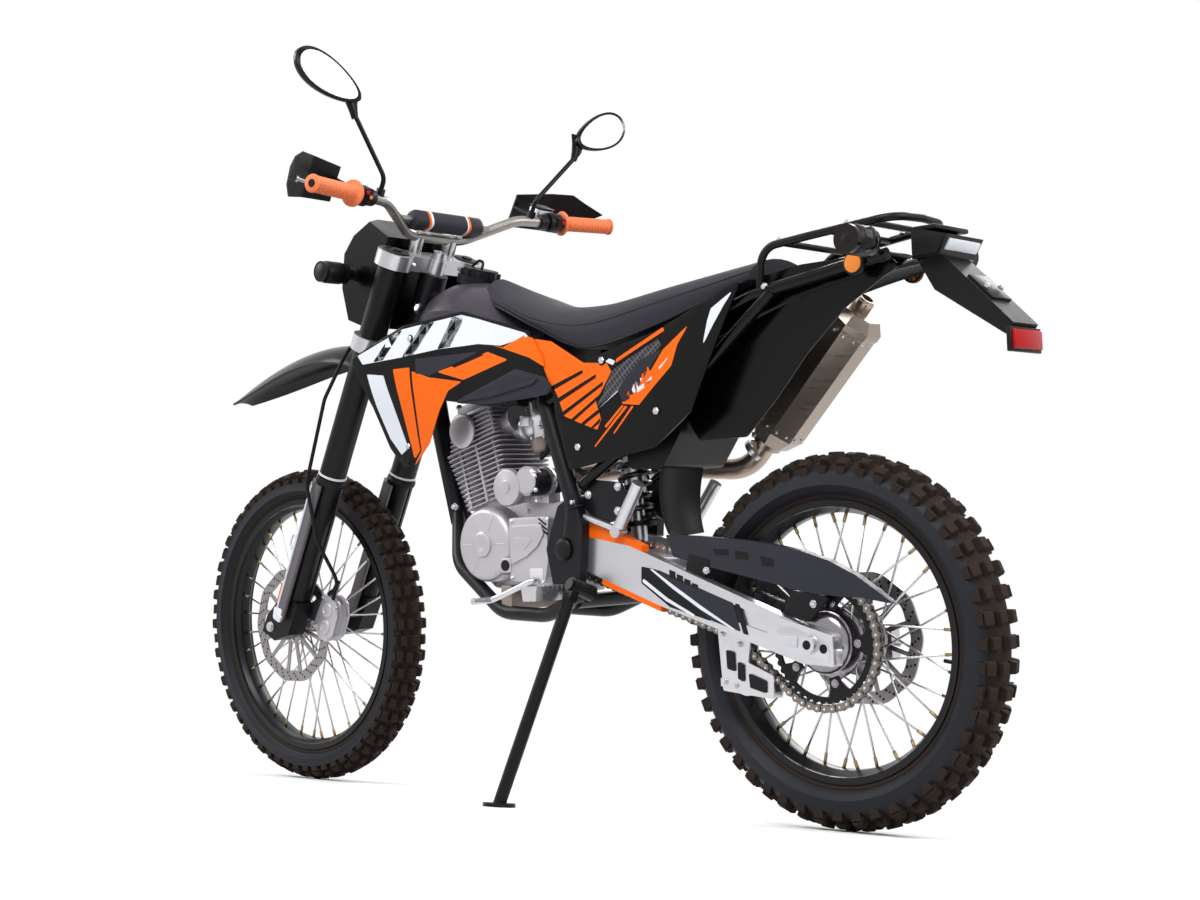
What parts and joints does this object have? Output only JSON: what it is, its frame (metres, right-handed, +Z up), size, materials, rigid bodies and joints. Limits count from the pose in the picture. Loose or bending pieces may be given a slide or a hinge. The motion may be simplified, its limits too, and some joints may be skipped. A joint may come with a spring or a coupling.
{
  "type": "enduro dirt bike",
  "caption": "Single-seat off-road motorcycle with spoked knobbly wheels, finned engine, luggage rack, mirrors and lamps, leaning on its side stand.",
  "frame": {"origin": "floor level under the centre of the parked bike's bounding box", "axes": "+X towards the front wheel, +Y to the rider's left, +Z up; the bike leans 8 degrees to +Y's side on its stand"},
  "size_m": [2.1724, 0.8874, 1.5176],
  "materials": {
    "bar_titanium": "titanium grey",
    "black_plastic": "gloss black",
    "black_rim": "anodised black",
    "black_rubber": "hose",
    "black_steel": "satin black powder coat",
    "chain_steel": "oiled",
    "dark_alloy": "polished dark",
    "dark_plastic": "dark blue grey",
    "disc_steel": "ground",
    "engine_alloy": "cast silver",
    "exhaust_steel": "brushed",
    "frame_paint": "satin dark grey",
    "grip_rubber": "orange rubber",
    "lamp_clear": "clear lens",
    "lamp_red": "red lens",
    "lamp_smoke": "smoked lens",
    "orange_plastic": "moulded orange",
    "seat_cover": "grained vinyl",
    "silver_alloy": "machined silver",
    "tank_plastic": "bronze grey",
    "tyre": "knobbly tread"
  },
  "bodies": {
    "chassis": {"main_frame": "frame_paint", "rear_subframe": "frame_paint", "engine_crankcase": "engine_alloy", "engine_cylinder": "engine_alloy", "starter_motor": "engine_alloy", "carburettor": "engine_alloy", "silencer": "exhaust_steel", "exhaust_pipe": "exhaust_steel", "fuel_tank": "tank_plastic", "fuel_cap": "black_plastic", "seat": "seat_cover", "tank_shrouds": "orange_plastic", "side_panels": "orange_plastic", "air_box": "black_plastic", "rear_fender": "black_plastic", "luggage_rack": "black_steel", "tail_lamp": "lamp_red", "plate_bracket": "black_plastic", "reflectors": "lamp_red", "rear_signals": "lamp_smoke", "swingarm": "silver_alloy", "rear_axle": "silver_alloy", "pivot_bolt": "silver_alloy", "drive_chain": "chain_steel", "chain_guide": "silver_alloy", "chain_guard": "black_plastic", "rear_shock": "orange_plastic", "chain_slider": "orange_plastic", "rear_caliper": "dark_alloy", "foot_pegs": "silver_alloy", "foot_controls": "silver_alloy"},
    "steering": {"front_axle": "silver_alloy", "fork_outer_tubes": "frame_paint", "fork_lower_legs": "black_plastic", "fork_guards": "dark_plastic", "handlebar": "bar_titanium", "triple_clamps": "silver_alloy", "grips": "grip_rubber", "bar_pad": "seat_cover", "control_perches": "black_plastic", "hand_guards": "black_plastic", "mirrors": "black_plastic", "front_fender": "black_plastic", "headlamp_mask": "orange_plastic", "headlamp": "lamp_clear", "front_signals": "lamp_smoke", "front_caliper": "silver_alloy", "front_brake_hose": "black_rubber"},
    "front_wheel": {"front_tyre": "tyre", "front_rim": "black_rim", "front_hub": "dark_alloy", "front_disc": "disc_steel"},
    "rear_wheel": {"rear_tyre": "tyre", "rear_rim": "black_rim", "rear_hub": "dark_alloy", "rear_disc": "disc_steel", "rear_sprocket": "black_steel"},
    "side_stand": {"side_stand": "black_steel"}
  },
  "joints": [
    {"name": "steering", "type": "hinge", "parent": "chassis", "child": "steering", "pos_m": [0.36973, -0.0461, 0.9389], "axis": [-0.454, 0.124, 0.8823], "range_deg": [-42, 42]},
    {"name": "front_wheel_spin", "type": "hinge", "parent": "steering", "child": "front_wheel", "pos_m": [0.73887, -0.12946, 0.3458], "axis": [0, 0.9903, -0.1392], "continuous": true},
    {"name": "rear_wheel_spin", "type": "hinge", "parent": "chassis", "child": "rear_wheel", "pos_m": [-0.70622, -0.13266, 0.32302], "axis": [0, 0.9903, -0.1392], "continuous": true},
    {"name": "side_stand", "type": "hinge", "parent": "chassis", "child": "side_stand", "pos_m": [-0.20122, 0.01861, 0.40779], "axis": [0.1594, 0.9578, 0.239], "range_deg": [0, 105]}
  ]
}
